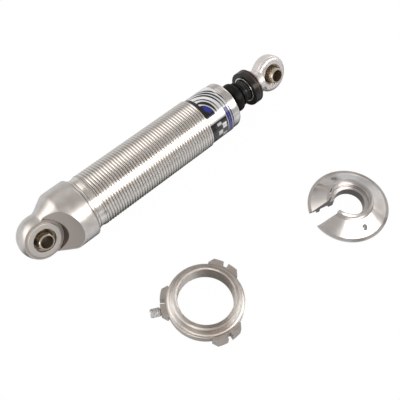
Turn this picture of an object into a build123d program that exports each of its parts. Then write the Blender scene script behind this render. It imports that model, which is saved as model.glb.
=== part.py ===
from build123d import *
from math import atan2, cos, degrees, radians, sin, sqrt
import os

# Coilover shock absorber, lying on a floor, with its adjuster nut and its
# spring seat taken off and laid beside it. Lengths in millimetres, angles in
# degrees. Stations are distances from the centre of the lower eye, along +X.

# Bearing set, the same in both eyes
bolt_bore = 12.0                # through both spacers of one bearing
race_diameter = 22.0
race_width = 8.0
ball_diameter = 19.0
ball_width = 11.0
spacer_wall = 1.0               # of the sleeve inside the ball
spacer_nose_diameter = 15.2
spacer_span = 28.0              # over both spacers
spacer_chamfer = 0.6
spacer_parting = 0.3            # between the two sleeves, inside the ball
snap_ring_thickness = 1.1
snap_ring_inner_diameter = 20.0
snap_ring_groove_depth = 0.8
snap_ring_mouth = 40.0          # open angle of the snap ring

# Base with the lower eye
lower_eye_radius = 20.5
lower_web_thickness = 17.0      # across the milled flats
lower_boss_radius = 16.0
lower_boss_height = 1.5         # proud of the flat, each side
lower_boss_round = 0.6
spot_face_radius = 19.5
neck_station = 4.0
neck_inset = 1.0                # neck radius is this much under the eye's
base_radius = 29.0
base_shoulder_station = 21.5    # where the cone reaches the full radius
base_cylinder_length = 24.0
base_heel_round = 9.0           # where the cone meets the cylinder
base_neck_round = 5.0           # where the cone leaves the ball end
base_shoulder_round = 3.0
scoop_foot_station = 8.0        # where the side scoop leaves the flat
scoop_top_station = 30.0        # where it runs out on the cylinder
scoop_sag = 1.7
socket_depth = 14.5
socket_pocket_depth = 6.0
socket_pocket_radius = 9.0

# Threaded body, label and end cap
tube_bore_radius = 22.5
spigot_radius = 24.0
relief_length = 7.5
relief_radius = 25.0
run_out_length = 2.3            # smooth ring before the first thread
run_out_radius = 25.6
thread_radius = 26.0
thread_length = 129.1
thread_pitch = 2.91
thread_depth = 1.0
thread_crest_width = 0.95
label_land_radius = 24.5
label_land_length = 28.8
label_thickness = 0.3
label_margin = 0.3
cap_length = 10.0
cap_radius = 24.1
cap_round = 3.0
cap_spigot_length = 10.0
cap_groove_width = 0.8
cap_groove_depth = 0.5
cap_groove_inset = 1.8
pin_spanner_hole_radius = 2.0
pin_spanner_hole_depth = 4.0
pin_spanner_circle_radius = 16.5
pin_spanner_holes = 4

# Inner tube, foot valve and rod guide
pressure_bore_radius = 18.0
pressure_wall = 1.3
foot_flange_thickness = 3.0
foot_spigot_length = 8.0
foot_port_radius = 1.6
foot_port_circle_radius = 8.0
foot_ports = 8
foot_shim_radius = 11.0
foot_shim_thickness = 0.6
foot_bolt_radius = 3.0
foot_bolt_head_radius = 5.0
foot_bolt_head_height = 4.0
guide_flange_thickness = 7.0
guide_spigot_length = 6.0
bush_wall = 1.2
seal_radius = 12.0
seal_thickness = 5.0
wiper_radius = 10.5
wiper_thickness = 4.0
wiper_lip_width = 1.6
o_ring_section = 2.4
o_ring_squeeze = 0.2

# Rod and what it carries
rod_radius = 7.0
rod_bore_radius = 2.9
rod_foot_gap = 3.0              # from the foot bolt to the rod's end
rod_spigot_radius = 5.0
rod_spigot_showing = 1.0        # past the piston nut
orifice_radius = 1.5
orifice_length = 6.0
piston_nut_across_flats = 15.0
piston_nut_height = 7.0
piston_length = 14.0
piston_band_width = 8.0
piston_band_depth = 1.2
piston_port_radius = 1.7
piston_port_circle_radius = 11.0
piston_ports = 8
compression_shim_radii = (14.5, 12.5, 10.5)
rebound_shim_radii = (13.5, 11.5, 9.5)
shim_thickness = 0.4
stop_ring_radius = 10.0
stop_ring_length = 13.9         # leaves a stroke of 102 mm to the rod guide

# Bump stop
bump_length = 20.0
bump_skirt_radius = 12.0
bump_skirt_length = 6.0
bump_lobe_radius = 15.2
bump_lobe_length = 10.5
bump_waist_radius = 10.8
bump_ring_radius = 12.6
bump_ring_length = 3.0

# Rebound knob, seat flange and rod end
knob_length = 6.2
knob_radius = 10.7
knob_chamfer = 0.5
knob_groove_width = 4.6
knob_groove_radius = 9.7
knob_hole_radius = 1.1
knob_hole_depth = 0.7
knob_holes = 6
shank_radius = 8.5
needle_radius = 2.84
needle_tip_length = 8.0
needle_tip_radius = 0.4
needle_root_radius = 1.4        # where the taper meets the shoulder
needle_shoulder_length = 1.0
needle_pin_radius = 1.0
needle_travel = 0.75            # each way from rest
flange_radius = 18.0
flange_length = 8.8
flange_recess_radius = 12.2
flange_recess_depth = 0.8
flange_edge_round = 1.0
flange_groove_radius = 16.3
flange_groove_width = 2.0
flange_lip_length = 1.9
flange_o_ring_inset = 0.1       # under the flange's radius
rod_end_collar_radius = 15.0
rod_end_collar_length = 3.2
rod_end_neck_radius = 11.6
rod_end_root_flare = 1.4        # where the neck leaves the collar
rod_end_root_length = 2.4
rod_end_neck_length = 8.5
upper_eye_radius = 18.5
upper_eye_thickness = 14.6
upper_eye_round = 4.6
upper_eye_reach = 13.3          # from the neck's end to the eye's centre
rod_end_bell_reach = 8.0        # where the widened neck ends inside the eye
rod_end_bell_radius = 15.5
rod_end_scoop_reach = 10.5
rod_end_scoop_sag = 0.8
rod_end_scoop_inset = 1.0       # of the scoop's end, short of the neck's

# Adjuster nut, its lock screw and the nylon pad under the screw
nut_bore_radius = 25.3
nut_height = 19.0
nut_flange_radius = 34.5
nut_flange_height = 10.5
nut_pilot_radius = 30.2
nut_cone_height = 1.2
nut_cone_width = 1.2
nut_edge_chamfer = 1.4
nut_mouth_chamfer = 1.3
lug_radius = 40.0
lug_count = 3
lug_half_width = 11.5
lug_slot_width = 4.6
lug_slot_depth = 4.2
lug_corner_chamfer = 1.8
lug_root_flare = 3.0            # how much wider, each side, at the flange
lug_root_inset = 1.5
nut_turn = 20.0                 # row direction of the first lug
lock_lug = 1                    # the lug that carries the lock screw
lock_offset = 10.8              # its angle past the lug's middle
lock_screw_radius = 3.0
lock_head_radius = 4.0
lock_head_length = 9.0
lock_head_chamfer = 0.7
lock_height = 5.2
pad_length = 3.0
pad_face_radius = 26.0

# Upper spring seat
seat_rim_radius = 38.2
seat_rim_thickness = 2.2
seat_rim_land = 2.6
seat_leg_height = 4.2
seat_leg_radius = 30.4
seat_leg_wall = 3.4
seat_cone_top_radius = 22.0
seat_cone_top_height = 15.5
seat_collar_radius = 20.3
seat_height = 22.0
seat_collar_chamfer = 1.2
seat_counterbore_radius = 18.4
seat_counterbore_depth = 10.5
seat_bore_radius = 14.3
seat_floor_height = 2.6         # underside of the seat's middle
seat_web_recess_radius = 18.5
seat_web_recess_slope = 1.5
seat_slot_width = 15.0
seat_slot_direction = 162.0
seat_hole_radius = 2.7
seat_hole_circle_radius = 28.5

# Where things lie
shock_roll = 28.0               # of the eyes, about the shock's own axis
nut_place = (73.4, -135.2)
seat_place = (239.6, -154.2)

# Fits, each a radial or axial gap
press_gap = 0.02
running_gap = 0.04
seat_gap = 0.3
end_gap = 0.3

# How far a cutter or a joined piece runs past the face it meets
overrun = 1.0

# Stations that follow
base_end = base_shoulder_station + base_cylinder_length
socket_floor = base_end - socket_depth
relief_end = base_end + relief_length
thread_start = relief_end + run_out_length
thread_end = thread_start + thread_length
tube_end = thread_end + label_land_length
cap_end = tube_end + cap_length
cap_spigot_start = tube_end - cap_spigot_length
guide_start = cap_spigot_start - guide_flange_thickness
guide_bottom = guide_start - guide_spigot_length
foot_top = socket_floor + foot_flange_thickness + foot_spigot_length
foot_shim_top = foot_top + foot_shim_thickness
foot_bolt_top = foot_shim_top + foot_bolt_head_height
rod_start = foot_bolt_top + rod_foot_gap
piston_nut_start = rod_start + rod_spigot_showing
piston_nut_end = piston_nut_start + piston_nut_height
piston_start = piston_nut_end + len(compression_shim_radii) * shim_thickness
piston_end = piston_start + piston_length
rod_shoulder = piston_end + len(rebound_shim_radii) * shim_thickness
bump_start = cap_end + end_gap
knob_start = bump_start + bump_length + end_gap
knob_end = knob_start + knob_length
flange_start = knob_end + end_gap
flange_end = flange_start + flange_length
collar_end = flange_end + rod_end_collar_length
neck_end = collar_end + rod_end_neck_length
upper_eye_station = neck_end + upper_eye_reach
pin_station = knob_start + knob_length / 2

# The shock lies on the rim of its base and on the last turn of its thread
rest_rim = base_end - base_shoulder_round
rest_tilt = degrees(atan2(base_radius - thread_radius, thread_end - rest_rim))
axis_height = base_radius * cos(radians(rest_tilt)) + rest_rim * sin(radians(rest_tilt))
laid = Location((0, 0, 0), (0, rest_tilt, 0)) * Location((0, 0, 0), (-shock_roll, 0, 0))


def turned(points):
    # Solid of revolution about X from an outline of (station, radius) points
    return revolve(make_face(Polyline(*points, close=True)), Axis.X)


def bored(start, end, outer, inner):
    # Plain tube along X
    return turned([(start, inner), (end, inner), (end, outer), (start, outer)])


def rod_along_x(start, end, radius):
    middle = (start + end) / 2
    return Pos(middle, 0, 0) * Rot(0, 90, 0) * Cylinder(radius, abs(end - start))


def rod_along_y(station, start, end, radius):
    middle = (start + end) / 2
    return Pos(station, middle, 0) * Rot(90, 0, 0) * Cylinder(radius, abs(end - start))


def around_x(solid, count, turn=0.0):
    # Copies of a solid, evenly spaced about the X axis
    return [Rot(turn + 360 / count * number, 0, 0) * solid for number in range(count)]


def eye_bore_cutter(station, half_length):
    # Bearing bore of an eye, with the two snap ring grooves
    cutter = rod_along_y(station, -half_length, half_length, race_diameter / 2)
    groove_radius = race_diameter / 2 + snap_ring_groove_depth
    inner = race_width / 2
    outer = inner + snap_ring_thickness + 2 * press_gap
    for side in (-1, 1):
        cutter += rod_along_y(station, side * inner, side * outer, groove_radius)
    return cutter


def bearing_race(station):
    outer = rod_along_y(station, -race_width / 2, race_width / 2, race_diameter / 2 - press_gap)
    return outer - Pos(station, 0, 0) * Sphere(ball_diameter / 2 + running_gap)


def bearing_ball(station):
    ball = Pos(station, 0, 0) * Sphere(ball_diameter / 2)
    ball &= Pos(station, 0, 0) * Box(ball_diameter * 2, ball_width, ball_diameter * 2)
    bore = bolt_bore / 2 + spacer_wall + running_gap
    return ball - rod_along_y(station, -ball_width, ball_width, bore)


def spacer(station, side):
    # One stepped spacer: its sleeve sits in the ball and its nose stands out
    seat = ball_width / 2 + running_gap
    nose = rod_along_y(station, side * seat, side * spacer_span / 2, spacer_nose_diameter / 2)
    rim = nose.edges().filter_by(GeomType.CIRCLE).sort_by(Axis.Y)[-1 if side > 0 else 0]
    nose = chamfer(rim, spacer_chamfer)
    sleeve_radius = bolt_bore / 2 + spacer_wall
    sleeve = rod_along_y(station, side * spacer_parting / 2, side * (seat + overrun), sleeve_radius)
    return nose + sleeve - rod_along_y(station, -spacer_span, spacer_span, bolt_bore / 2)


def bearing_spacers(station):
    return Compound([spacer(station, -1).solid(), spacer(station, 1).solid()])


def snap_ring(station, side):
    inner = side * (race_width / 2 + press_gap)
    outer = side * (race_width / 2 + press_gap + snap_ring_thickness)
    groove_radius = race_diameter / 2 + snap_ring_groove_depth - press_gap
    ring = rod_along_y(station, inner, outer, groove_radius)
    ring -= rod_along_y(station, -race_width, race_width, snap_ring_inner_diameter / 2)
    mouth_width = 2 * groove_radius * sin(radians(snap_ring_mouth / 2))
    mouth = Pos(station - groove_radius, 0, 0) * Box(groove_radius, 4 * race_width, mouth_width)
    return ring - mouth


def snap_rings(station):
    return Compound([snap_ring(station, -1).solid(), snap_ring(station, 1).solid()])


def base_blank():
    # Ball end, cone and cylinder turned as one piece, with the corners between them blended
    neck_radius = lower_eye_radius - neck_inset
    slope = (base_radius - neck_radius) / (base_shoulder_station - neck_station)
    start_radius = neck_radius - slope * neck_station
    # where the cone's line cuts the ball's circle
    reach = sqrt(lower_eye_radius ** 2 * (1 + slope ** 2) - start_radius ** 2)
    meeting = (reach - start_radius * slope) / (1 + slope ** 2)
    outline = ThreePointArc(
        (-lower_eye_radius, 0),
        (0, lower_eye_radius),
        (meeting, start_radius + slope * meeting),
    )
    outline += Polyline(
        (meeting, start_radius + slope * meeting),
        (base_shoulder_station, base_radius),
        (base_end, base_radius),
        (base_end, 0),
        (-lower_eye_radius, 0),
    )
    outline = make_face(outline)
    # from the rim to the neck, so that each corner's place in the row stays the same
    for place, blend in ((2, base_shoulder_round), (1, base_heel_round), (0, base_neck_round)):
        corners = outline.vertices().filter_by(lambda corner: corner.Y > neck_station)
        outline = fillet(corners.sort_by(Axis.X)[place], blend)
    return revolve(outline, Axis.X)


def base_cap():
    # The turned blank with scooped flats and a boss on each side
    body = base_blank()
    for side in (-1, 1):
        body -= side_scoop(
            side,
            lower_web_thickness / 2,
            scoop_foot_station,
            scoop_top_station,
            base_radius,
            scoop_sag,
            -2 * lower_eye_radius,
        )
        body -= rod_along_y(0, side * lower_web_thickness / 2, side * base_radius, spot_face_radius)
        boss_face = lower_web_thickness / 2 + lower_boss_height
        boss = rod_along_y(0, 0, side * boss_face, lower_boss_radius)
        rim = boss.edges().filter_by(GeomType.CIRCLE).sort_by(Axis.Y)[-1 if side > 0 else 0]
        body += fillet(rim, lower_boss_round)
    body -= eye_bore_cutter(0, base_radius)
    body -= bored(socket_floor, base_end + overrun, spigot_radius + press_gap, 0)
    return body - bored(socket_floor - socket_pocket_depth, socket_floor + overrun, socket_pocket_radius, 0)


def side_scoop(side, flat, foot, top, crest, sag, beyond):
    # Milled flat that sweeps up in an arc from its foot to the crest
    run = top - foot
    rise = crest - flat
    chord = sqrt(run ** 2 + rise ** 2)
    lean = 1 if run > 0 else -1
    middle_x = (foot + top) / 2 + lean * sag * rise / chord
    middle_y = (flat + crest) / 2 - lean * sag * run / chord
    outline = Line((beyond, side * flat), (foot, side * flat))
    outline += ThreePointArc((foot, side * flat), (middle_x, side * middle_y), (top, side * crest))
    outline += Polyline(
        (top, side * crest),
        (top, side * 2 * crest),
        (beyond, side * 2 * crest),
        (beyond, side * flat),
    )
    return extrude(make_face(outline), amount=2 * crest, both=True)


def thread_ridges():
    # Outline of the thread, its turns drawn as rings: a flat crest and a V valley each
    flank = (thread_pitch - thread_crest_width) / 2
    points = []
    for turn in range(int(thread_length / thread_pitch)):
        crest_end = thread_start + turn * thread_pitch + thread_crest_width
        points.append((crest_end, thread_radius))
        points.append((crest_end + flank, thread_radius - thread_depth))
        points.append((crest_end + 2 * flank, thread_radius))
    return points


def body_tube():
    return turned([
        (socket_floor + end_gap, tube_bore_radius),
        (socket_floor + end_gap, spigot_radius),
        (base_end, spigot_radius),
        (base_end, relief_radius),
        (relief_end, relief_radius),
        (relief_end, run_out_radius),
        (thread_start, run_out_radius),
        (thread_start, thread_radius),
        *thread_ridges(),
        (thread_end, thread_radius),
        (thread_end, label_land_radius),
        (tube_end, label_land_radius),
        (tube_end, tube_bore_radius),
    ])


def body_label():
    outer = label_land_radius + label_thickness
    return bored(thread_end + label_margin, tube_end - label_margin, outer, label_land_radius + press_gap)


def top_cap():
    # Screwed end cap with pin spanner holes, a wiper seat and a seal pocket
    cap = bored(tube_end, cap_end, cap_radius, 0)
    rim = cap.edges().filter_by(GeomType.CIRCLE).sort_by(Axis.X)[-1]
    cap = fillet(rim, cap_round)
    cap += bored(cap_spigot_start, tube_end + overrun, tube_bore_radius - press_gap, 0)
    groove_start = tube_end + cap_groove_inset
    groove_end = groove_start + cap_groove_width
    cap -= bored(groove_start, groove_end, cap_radius + overrun, cap_radius - cap_groove_depth)
    hole_start = cap_end - pin_spanner_hole_depth
    hole = rod_along_x(hole_start, cap_end + overrun, pin_spanner_hole_radius)
    for cutter in around_x(Pos(0, pin_spanner_circle_radius, 0) * hole, pin_spanner_holes, 45):
        cap -= cutter
    cap -= bored(cap_end - wiper_thickness, cap_end + overrun, wiper_radius + press_gap, 0)
    cap -= bored(cap_spigot_start - overrun, cap_spigot_start + seal_thickness, seal_radius + press_gap, 0)
    return cap - bored(cap_spigot_start, cap_end, rod_radius + seat_gap, 0)


def rod_wiper():
    # Lipped scraper, standing a little out of the cap
    start = cap_end - wiper_thickness
    return turned([
        (start, rod_radius + running_gap),
        (start, wiper_radius),
        (cap_end, wiper_radius),
        (cap_end, rod_radius + wiper_lip_width),
        (cap_end + end_gap / 2, rod_radius + running_gap),
    ])


def rod_seal():
    end = cap_spigot_start + seal_thickness - press_gap
    return bored(cap_spigot_start + press_gap, end, seal_radius, rod_radius + running_gap)


def rod_guide():
    guide = bored(guide_start, cap_spigot_start, tube_bore_radius - press_gap, 0)
    guide += bored(guide_bottom, guide_start + overrun, pressure_bore_radius - press_gap, 0)
    groove_middle = guide_start + guide_flange_thickness / 2
    groove_half = o_ring_section / 2 + press_gap
    groove_floor = tube_bore_radius - o_ring_section + o_ring_squeeze
    guide -= bored(groove_middle - groove_half, groove_middle + groove_half, tube_bore_radius, groove_floor)
    return guide - bored(guide_bottom, cap_spigot_start, rod_radius + bush_wall + press_gap, 0)


def guide_bush():
    return bored(guide_bottom, cap_spigot_start, rod_radius + bush_wall, rod_radius + running_gap)


def guide_o_ring():
    # Drawn as it sits in its groove, squeezed flat against the tube's bore
    groove_middle = guide_start + guide_flange_thickness / 2
    floor = tube_bore_radius - o_ring_section + o_ring_squeeze + press_gap
    half = o_ring_section / 2
    return bored(groove_middle - half, groove_middle + half, tube_bore_radius - press_gap, floor)


def pressure_tube():
    start = socket_floor + foot_flange_thickness
    return bored(start, guide_start, pressure_bore_radius + pressure_wall, pressure_bore_radius)


def foot_valve():
    flange_end_station = socket_floor + foot_flange_thickness
    body = bored(socket_floor, flange_end_station, pressure_bore_radius + pressure_wall, 0)
    body += bored(socket_floor, foot_top, pressure_bore_radius - press_gap, 0)
    port = rod_along_x(socket_floor - overrun, foot_top + overrun, foot_port_radius)
    for cutter in around_x(Pos(0, foot_port_circle_radius, 0) * port, foot_ports):
        body -= cutter
    return body - bored(socket_floor, foot_top, foot_bolt_radius + press_gap, 0)


def foot_shim():
    return bored(foot_top, foot_shim_top, foot_shim_radius, foot_bolt_radius + press_gap)


def foot_bolt():
    # Through bolt of the foot valve, headed on both ends
    shank = rod_along_x(socket_floor - foot_bolt_head_height, foot_bolt_top, foot_bolt_radius)
    heads = bored(socket_floor - foot_bolt_head_height, socket_floor, foot_bolt_head_radius, 0)
    heads += hexagon_prism(foot_shim_top, foot_bolt_top, 2 * foot_bolt_head_radius * cos(radians(30)))
    return shank + heads


def hexagon_prism(start, end, across_flats):
    sketch = Plane.YZ * RegularPolygon(across_flats / 2, 6, major_radius=False)
    return Pos(start, 0, 0) * extrude(sketch, amount=end - start)


def piston_rod():
    # Hollow rod: spigot for the piston, metering orifice, bore for the needle
    rod = bored(rod_start, rod_shoulder + overrun, rod_spigot_radius, 0)
    rod += bored(rod_shoulder, flange_end, rod_radius, 0)
    rod -= bored(rod_start - overrun, rod_start + orifice_length + overrun, orifice_radius, 0)
    rod -= bored(rod_start + orifice_length, flange_end + overrun, rod_bore_radius, 0)
    return rod - pin_slot()


def pin_slot():
    # Slot through rod and shank in which the needle's cross pin slides
    length = 2 * (needle_pin_radius + needle_travel + press_gap)
    width = 2 * (needle_pin_radius + running_gap)
    return Pos(pin_station, 0, 0) * Box(length, width, 3 * shank_radius)


def piston_nut():
    nut = hexagon_prism(piston_nut_start, piston_nut_end, piston_nut_across_flats)
    return nut - bored(piston_nut_start, piston_nut_end, rod_spigot_radius + press_gap, 0)


def shim_stack(start, radii):
    # Discs that step down away from the piston
    stack = []
    for number, radius in enumerate(radii):
        first = start + number * shim_thickness
        shim = bored(first, first + shim_thickness, radius, rod_spigot_radius + press_gap)
        stack.append(shim.solid())
    return stack


def compression_shims():
    return Compound(shim_stack(piston_nut_end, compression_shim_radii[::-1]))


def rebound_shims():
    return Compound(shim_stack(piston_end, rebound_shim_radii))


def piston():
    radius = pressure_bore_radius - seat_gap
    body = bored(piston_start, piston_end, radius, rod_spigot_radius + press_gap)
    middle = (piston_start + piston_end) / 2
    half = piston_band_width / 2 + press_gap
    body -= bored(middle - half, middle + half, radius + overrun, radius - piston_band_depth)
    port = rod_along_x(piston_start - overrun, piston_end + overrun, piston_port_radius)
    for cutter in around_x(Pos(0, piston_port_circle_radius, 0) * port, piston_ports):
        body -= cutter
    return body


def piston_band():
    middle = (piston_start + piston_end) / 2
    half = piston_band_width / 2
    inner = pressure_bore_radius - seat_gap - piston_band_depth + press_gap
    return bored(middle - half, middle + half, pressure_bore_radius - running_gap, inner)


def rebound_stop():
    # Sleeve on the rod that meets the rod guide at full extension
    return bored(rod_shoulder, rod_shoulder + stop_ring_length, stop_ring_radius, rod_radius + press_gap)


def bump_stop():
    # Rubber spring with a skirt, one fat lobe and a small ring
    lobe_start = bump_start + bump_skirt_length
    lobe_end = lobe_start + bump_lobe_length
    ring_start = bump_start + bump_length - bump_ring_length
    bore = rod_radius + seat_gap
    lobe_drop = bump_lobe_radius - bump_waist_radius
    outline = Polyline(
        (lobe_end, bump_waist_radius),
        (ring_start, bump_waist_radius),
        (ring_start, bump_ring_radius),
        (bump_start + bump_length, bump_ring_radius),
        (bump_start + bump_length, bore),
        (bump_start, bore),
        (bump_start, bump_skirt_radius),
        (lobe_start, bump_waist_radius),
    )
    lobe_middle = (lobe_start + lobe_end) / 2
    outline += ThreePointArc(
        (lobe_start, bump_waist_radius),
        (lobe_middle, bump_waist_radius + lobe_drop),
        (lobe_end, bump_waist_radius),
    )
    return revolve(make_face(outline), Axis.X)


def rebound_knob():
    knob = bored(knob_start, knob_end, knob_radius, shank_radius + running_gap)
    rims = knob.edges().filter_by(GeomType.CIRCLE)
    outer_rims = [edge for edge in rims if edge.radius > knob_radius - running_gap]
    knob = chamfer(outer_rims, knob_chamfer)
    half = knob_groove_width / 2
    knob -= bored(pin_station - half, pin_station + half, knob_groove_radius, 0)
    hole = Pos(pin_station, 0, knob_radius) * Cylinder(knob_hole_radius, 2 * knob_hole_depth)
    for cutter in around_x(hole, knob_holes):
        knob -= cutter
    return knob


def seat_flange():
    # Stepped flange that centres the spring seat, grooved for an O-ring
    body = bored(flange_start, flange_end, flange_radius, shank_radius + press_gap)
    front = body.edges().filter_by(GeomType.CIRCLE).group_by(Axis.X)[0].sort_by(SortBy.RADIUS)[-1]
    body = fillet(front, flange_edge_round)
    lip_start = flange_end - flange_lip_length
    body -= bored(lip_start - flange_groove_width, lip_start, flange_radius + overrun, flange_groove_radius)
    recess_end = flange_start + flange_recess_depth
    return body - bored(flange_start - overrun, recess_end, flange_recess_radius, 0)


def flange_o_ring():
    # Half round O-ring, its outside level with the flange
    lip_start = flange_end - flange_lip_length
    start = lip_start - flange_groove_width + press_gap
    end = lip_start - press_gap
    return bored(start, end, flange_radius - flange_o_ring_inset, flange_groove_radius + press_gap)


def rod_end():
    # Shank, collar, neck scooped on both sides, and a round-edged eye
    stem = turned([
        (knob_start, 0),
        (knob_start, shank_radius),
        (flange_end, shank_radius),
        (flange_end, rod_end_collar_radius),
        (collar_end, rod_end_collar_radius),
        (collar_end, rod_end_neck_radius + rod_end_root_flare),
        (collar_end + rod_end_root_length, rod_end_neck_radius),
        (neck_end, rod_end_neck_radius),
        (upper_eye_station - rod_end_bell_reach, rod_end_bell_radius),
        (upper_eye_station - rod_end_bell_reach, 0),
    ])
    half = upper_eye_thickness / 2
    for side in (-1, 1):
        stem -= side_scoop(
            side,
            half,
            upper_eye_station - rod_end_scoop_reach,
            neck_end - rod_end_scoop_inset,
            rod_end_neck_radius,
            rod_end_scoop_sag,
            upper_eye_station,
        )
    eye = rod_along_y(upper_eye_station, -half, half, upper_eye_radius)
    stem += fillet(eye.edges().filter_by(GeomType.CIRCLE), upper_eye_round)
    stem -= bored(knob_start - overrun, flange_end + press_gap, rod_radius + press_gap, 0)
    return stem - eye_bore_cutter(upper_eye_station, upper_eye_radius) - pin_slot()


def metering_needle():
    tip_start = rod_start + orifice_length - needle_tip_length / 2
    tip_end = tip_start + needle_tip_length
    needle = turned([
        (tip_start, 0),
        (tip_start, needle_tip_radius),
        (tip_end, needle_root_radius),
        (tip_end + needle_shoulder_length, needle_radius),
        (knob_end, needle_radius),
        (knob_end, 0),
    ])
    return needle - Pos(pin_station, 0, 0) * Cylinder(needle_pin_radius + press_gap, 4 * needle_radius)


def needle_pin():
    return Pos(pin_station, 0, 0) * Cylinder(needle_pin_radius, 2 * (knob_groove_radius - end_gap))


def place_on_floor(solid, place, turn):
    return Location((place[0], place[1], -axis_height)) * Rot(0, 0, turn) * solid


def nut_lug():
    # Spanner lug on +X with chamfered corners and a slot across its middle
    root_half_width = lug_half_width + lug_root_flare
    root = nut_flange_radius - lug_root_inset
    tip = lug_radius + overrun
    outline = Polyline(
        (nut_pilot_radius, -lug_half_width),
        (root, -root_half_width),
        (lug_radius - lug_corner_chamfer, -lug_half_width),
        (tip, -lug_half_width + lug_corner_chamfer),
        (tip, lug_half_width - lug_corner_chamfer),
        (lug_radius - lug_corner_chamfer, lug_half_width),
        (root, root_half_width),
        (nut_pilot_radius, lug_half_width),
        close=True,
    )
    lug = extrude(make_face(outline), amount=nut_flange_height)
    lug &= Cylinder(lug_radius, nut_flange_height, align=(Align.CENTER, Align.CENTER, Align.MIN))
    slot = Pos(lug_radius, 0, 0) * Box(2 * lug_slot_depth, lug_slot_width, 3 * nut_flange_height)
    return lug - slot


def lock_axis():
    # Frame of the lock screw: X outward, at its height above the nut's foot
    angle = lock_lug * 360 / lug_count + lock_offset
    return Rot(0, 0, angle) * Pos(0, 0, lock_height)


def adjuster_nut():
    body = revolve(make_face(Plane.XZ * Polyline(
        (nut_bore_radius - overrun, 0),
        (nut_flange_radius - nut_edge_chamfer, 0),
        (nut_flange_radius, nut_edge_chamfer),
        (nut_flange_radius, nut_flange_height - nut_edge_chamfer / 2),
        (nut_flange_radius - nut_edge_chamfer / 2, nut_flange_height),
        (nut_pilot_radius + nut_cone_width, nut_flange_height),
        (nut_pilot_radius, nut_flange_height + nut_cone_height),
        (nut_pilot_radius, nut_height - nut_edge_chamfer),
        (nut_pilot_radius - nut_edge_chamfer, nut_height),
        (nut_bore_radius - overrun, nut_height),
        close=True,
    )), Axis.Z)
    for number in range(lug_count):
        body += Rot(0, 0, 360 / lug_count * number) * nut_lug()
    body -= revolve(make_face(Plane.XZ * Polyline(
        (0, -overrun),
        (nut_bore_radius + nut_mouth_chamfer + overrun, -overrun),
        (nut_bore_radius, nut_mouth_chamfer),
        (nut_bore_radius, nut_height - nut_mouth_chamfer),
        (nut_bore_radius + nut_mouth_chamfer + overrun, nut_height + overrun),
        (0, nut_height + overrun),
        close=True,
    )), Axis.Z)
    hole = rod_along_x(nut_bore_radius - overrun, lug_radius + overrun, lock_screw_radius + running_gap)
    return body - lock_axis() * hole


def lock_pad():
    pad = rod_along_x(pad_face_radius, pad_face_radius + pad_length, lock_screw_radius)
    return lock_axis() * pad


def lock_screw():
    start = pad_face_radius + pad_length + running_gap
    head_start = lug_radius + end_gap
    screw = rod_along_x(start, head_start + overrun, lock_screw_radius)
    head = rod_along_x(head_start, head_start + lock_head_length, lock_head_radius)
    head = chamfer(head.edges().filter_by(GeomType.CIRCLE), lock_head_chamfer)
    return lock_axis() * (screw + head)


def upper_spring_seat():
    # C-shaped cone with a counterbored collar and a pilot ring underneath
    rim_top = seat_leg_height + seat_rim_thickness
    body = revolve(make_face(Plane.XZ * Polyline(
        (seat_bore_radius, seat_floor_height),
        (seat_web_recess_radius, seat_floor_height),
        (seat_web_recess_radius + seat_web_recess_slope, rim_top),
        (seat_leg_radius - seat_leg_wall, seat_leg_height + seat_rim_thickness / 2),
        (seat_leg_radius - seat_leg_wall, 0),
        (seat_leg_radius, 0),
        (seat_leg_radius, seat_leg_height),
        (seat_rim_radius, seat_leg_height),
        (seat_rim_radius, rim_top),
        (seat_rim_radius - seat_rim_land, rim_top),
        (seat_cone_top_radius, seat_cone_top_height),
        (seat_collar_radius, seat_cone_top_height),
        (seat_collar_radius, seat_height - seat_collar_chamfer),
        (seat_collar_radius - seat_collar_chamfer, seat_height),
        (seat_counterbore_radius, seat_height),
        (seat_counterbore_radius, seat_height - seat_counterbore_depth),
        (seat_bore_radius, seat_height - seat_counterbore_depth),
        close=True,
    )), Axis.Z)
    slot = Box(2 * seat_rim_radius, seat_slot_width, 2 * seat_height)
    body -= Pos(seat_rim_radius, 0, seat_height / 2) * slot
    for side in (-1, 1):
        hole = Rot(0, 0, side * 90) * Pos(seat_hole_circle_radius, 0, seat_height / 2)
        body -= hole * Cylinder(seat_hole_radius, 2 * seat_height)
    return body


shock_parts = {
    "base_cap": base_cap(),
    "lower_race": bearing_race(0),
    "lower_ball": bearing_ball(0),
    "lower_spacers": bearing_spacers(0),
    "lower_snap_rings": snap_rings(0),
    "body_tube": body_tube(),
    "body_label": body_label(),
    "top_cap": top_cap(),
    "rod_wiper": rod_wiper(),
    "rod_seal": rod_seal(),
    "rod_guide": rod_guide(),
    "guide_bush": guide_bush(),
    "guide_o_ring": guide_o_ring(),
    "pressure_tube": pressure_tube(),
    "foot_valve": foot_valve(),
    "foot_shim": foot_shim(),
    "foot_bolt": foot_bolt(),
    "piston_rod": piston_rod(),
    "piston_nut": piston_nut(),
    "compression_shims": compression_shims(),
    "piston": piston(),
    "piston_band": piston_band(),
    "rebound_shims": rebound_shims(),
    "rebound_stop": rebound_stop(),
    "bump_stop": bump_stop(),
    "rebound_knob": rebound_knob(),
    "metering_needle": metering_needle(),
    "needle_pin": needle_pin(),
    "seat_flange": seat_flange(),
    "flange_o_ring": flange_o_ring(),
    "rod_end": rod_end(),
    "upper_race": bearing_race(upper_eye_station),
    "upper_ball": bearing_ball(upper_eye_station),
    "upper_spacers": bearing_spacers(upper_eye_station),
    "upper_snap_rings": snap_rings(upper_eye_station),
}

loose_parts = {
    "adjuster_nut": (adjuster_nut(), nut_place, nut_turn),
    "lock_pad": (lock_pad(), nut_place, nut_turn),
    "lock_screw": (lock_screw(), nut_place, nut_turn),
    "upper_spring_seat": (upper_spring_seat(), seat_place, seat_slot_direction),
}

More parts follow.
